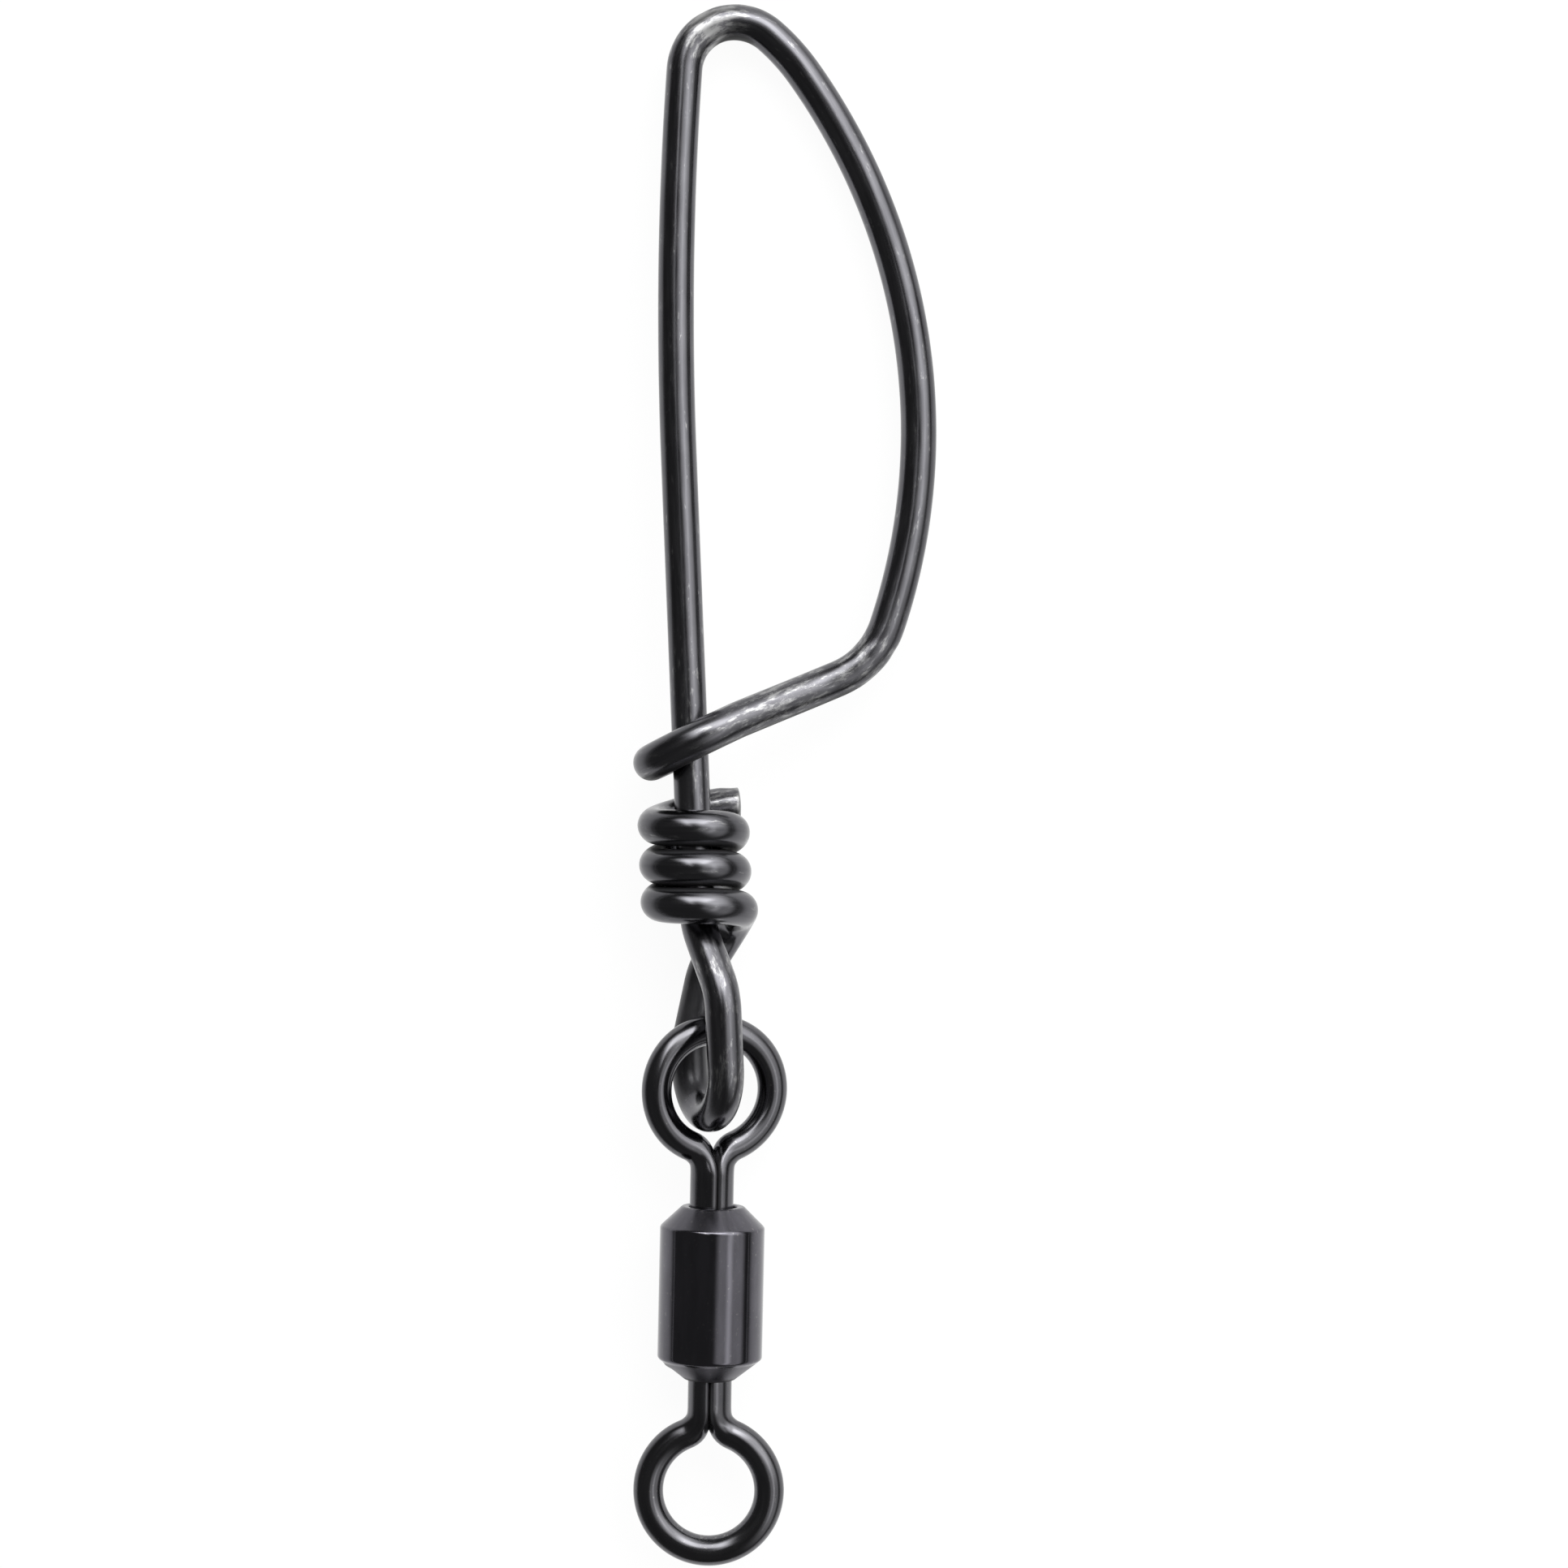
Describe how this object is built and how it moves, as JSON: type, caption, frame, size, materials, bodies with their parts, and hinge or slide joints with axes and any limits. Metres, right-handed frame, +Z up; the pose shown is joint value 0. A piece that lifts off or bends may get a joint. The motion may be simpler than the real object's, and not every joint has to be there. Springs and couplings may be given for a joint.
{
  "type": "fishing snap swivel",
  "caption": "Barrel swivel for fishing line with a turning wire eye at each end, one of them linked to a long wire snap closed by its own hook.",
  "frame": {"origin": "centre of the bounding box's bottom face, on the floor the swivel lies on", "axes": "+Y from the line-side eye to the top of the snap along the swivel's axis, +X to the right seen from above, on the side the snap's bow reaches to, +Z up from the floor"},
  "size_m": [0.0146, 0.076, 0.0062],
  "materials": {
    "barrel_shell": "black nickel plate over brass, glossy with fine scuffs",
    "eye_wire": "black nickel plate, glossy",
    "snap_spring_wire": "black nickel plate, glossy, worn at the bends"
  },
  "bodies": {
    "barrel": {"swivel_barrel": "barrel_shell"},
    "snap_eye": {"snap_side_eye": "eye_wire"},
    "line_eye": {"line_side_eye": "eye_wire"},
    "snap": {"snap_wire": "snap_spring_wire"}
  },
  "joints": [
    {"name": "snap_eye_spin", "type": "hinge", "parent": "barrel", "child": "snap_eye", "pos_m": [-0.00307, -0.02476, 0.00254], "axis": [0, 1, 0], "continuous": true},
    {"name": "line_eye_spin", "type": "hinge", "parent": "barrel", "child": "line_eye", "pos_m": [-0.00307, -0.02476, 0.00254], "axis": [0, 1, 0], "continuous": true},
    {"name": "snap_swing", "type": "hinge", "parent": "snap_eye", "child": "snap", "pos_m": [-0.00307, -0.01201, 0.00254], "axis": [0.9511, 0, -0.309], "range_deg": [-148, 144]}
  ]
}
